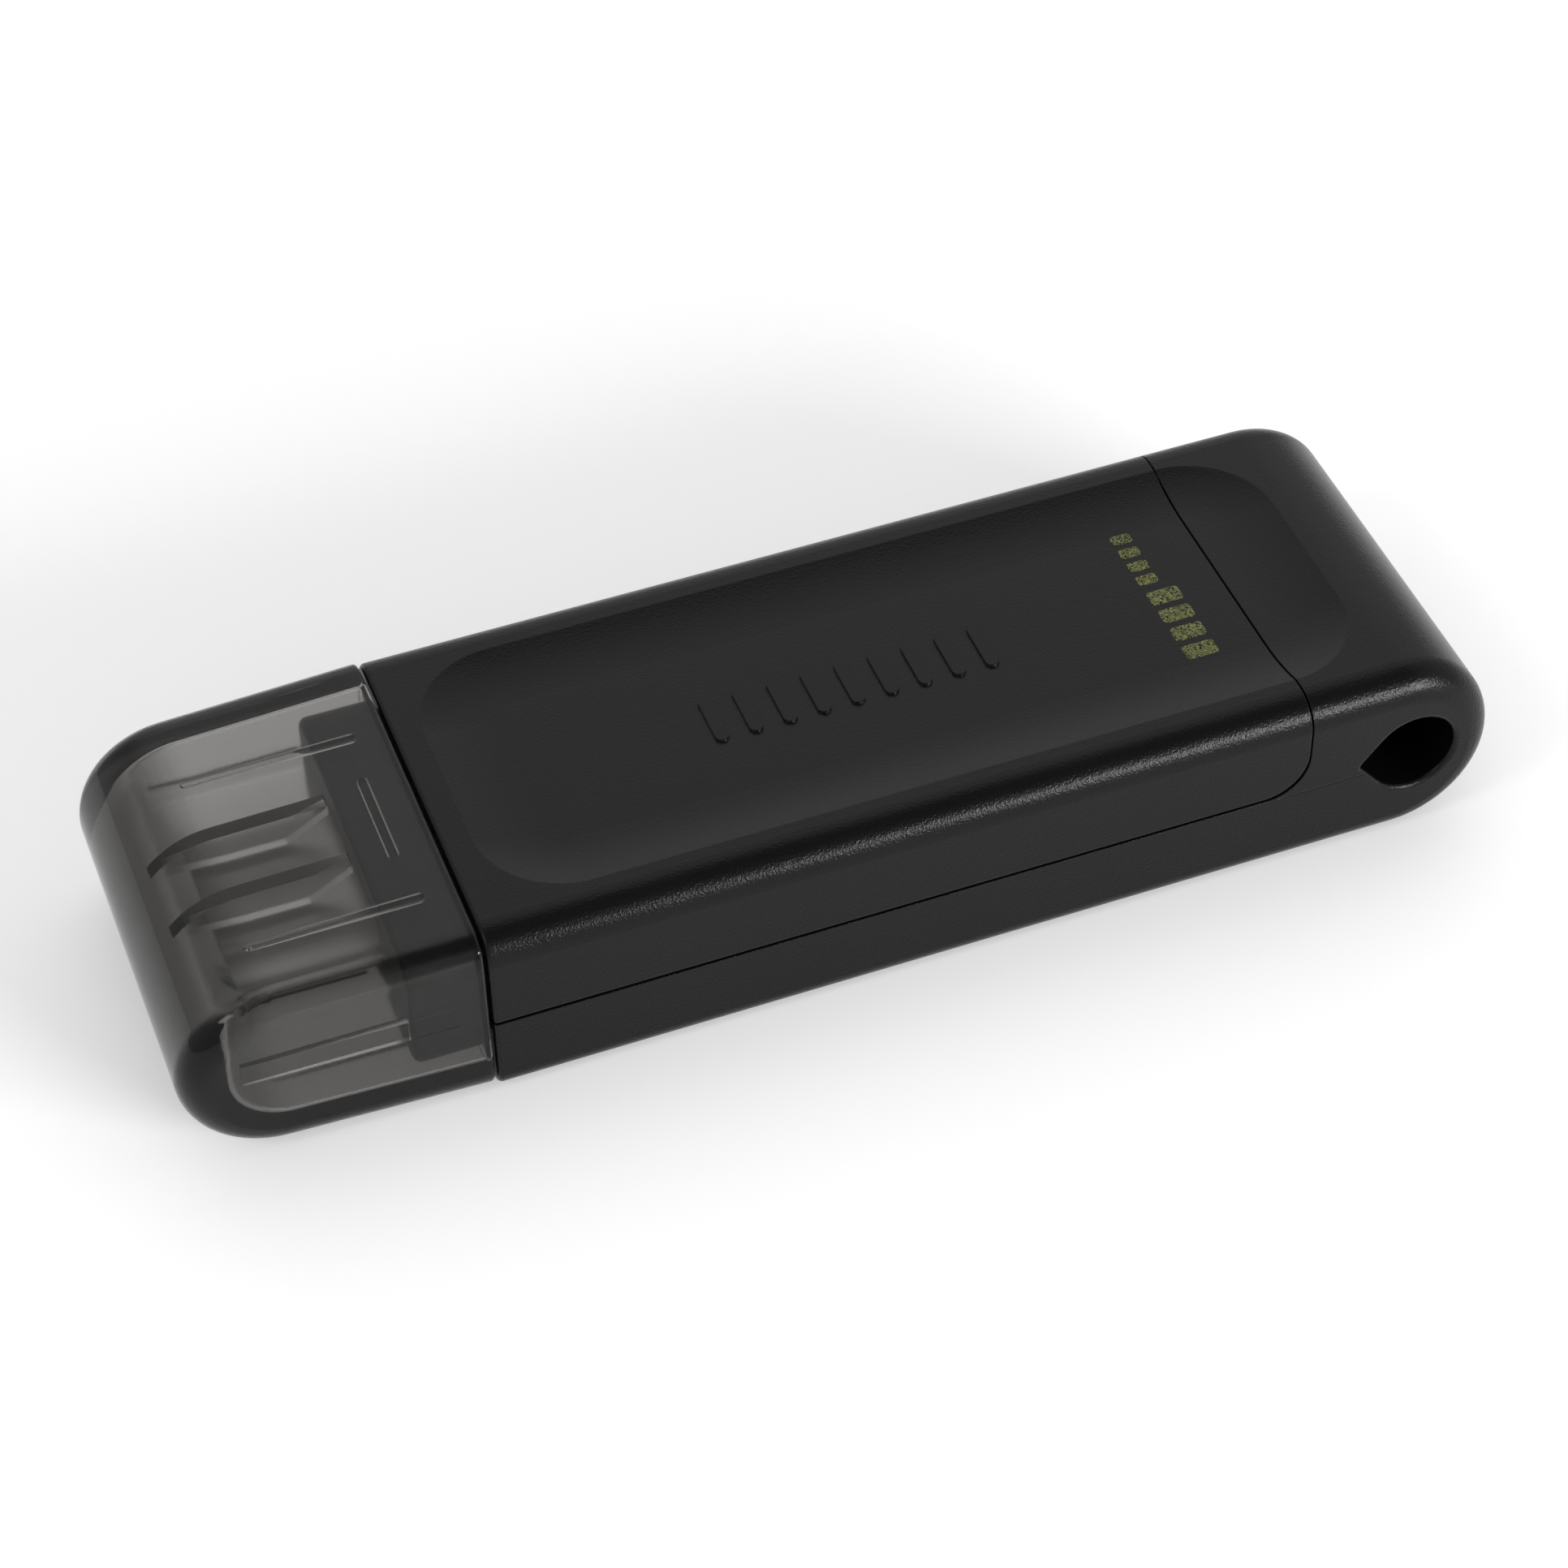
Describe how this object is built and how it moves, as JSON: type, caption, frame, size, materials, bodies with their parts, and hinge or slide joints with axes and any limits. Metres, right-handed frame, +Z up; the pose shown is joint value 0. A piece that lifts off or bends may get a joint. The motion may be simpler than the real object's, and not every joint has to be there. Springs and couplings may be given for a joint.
{
  "type": "usb flash drive",
  "caption": "Slim USB flash drive with a Type-C plug, a push-on smoked clear cap, a scooped two-part black case and a teardrop keyring eye.",
  "frame": {"origin": "under the middle of the whole drive with its cap on, on the plane that it rests on", "axes": "+X towards the keyring eye, away from the plug and cap; +Y across the width; +Z up, out of the scooped face"},
  "size_m": [0.059, 0.0186, 0.009],
  "materials": {
    "case_plastic": "fine spark-eroded matt black",
    "smoked_plastic": "polished smoked clear plastic",
    "collar_plastic": "satin black",
    "plug_steel": "nickel-plated steel",
    "connector_plastic": "moulded black",
    "gold_contact": "gold-plated",
    "board_laminate": "green solder mask",
    "chip_resin": "moulded epoxy",
    "ceramic": "fired ceramic",
    "ferrite": "pressed ferrite",
    "tin": "bright tin"
  },
  "bodies": {
    "drive": {"lower_shell": "case_plastic", "upper_shell": "case_plastic", "plug_collar": "collar_plastic", "usb_plug_shell": "plug_steel", "plug_housing": "connector_plastic", "upper_contact_block": "connector_plastic", "lower_contact_block": "connector_plastic", "upper_contacts": "gold_contact", "lower_contacts": "gold_contact", "latch_plate": "plug_steel", "shield_springs": "plug_steel", "circuit_board": "board_laminate", "controller_chip": "chip_resin", "flash_memory_chip": "chip_resin", "crystal_base": "ceramic", "crystal_lid": "plug_steel", "power_inductor": "ferrite", "voltage_regulator": "chip_resin", "regulator_leads": "tin", "static_protectors": "chip_resin", "ceramic_capacitors": "ceramic", "chip_resistors": "chip_resin", "component_terminals": "tin"},
    "cap": {"cap": "smoked_plastic"}
  },
  "joints": [
    {"name": "cap_slide", "type": "slide", "parent": "drive", "child": "cap", "axis": [-1, 0, 0], "range_m": [0, 0.02]}
  ]
}
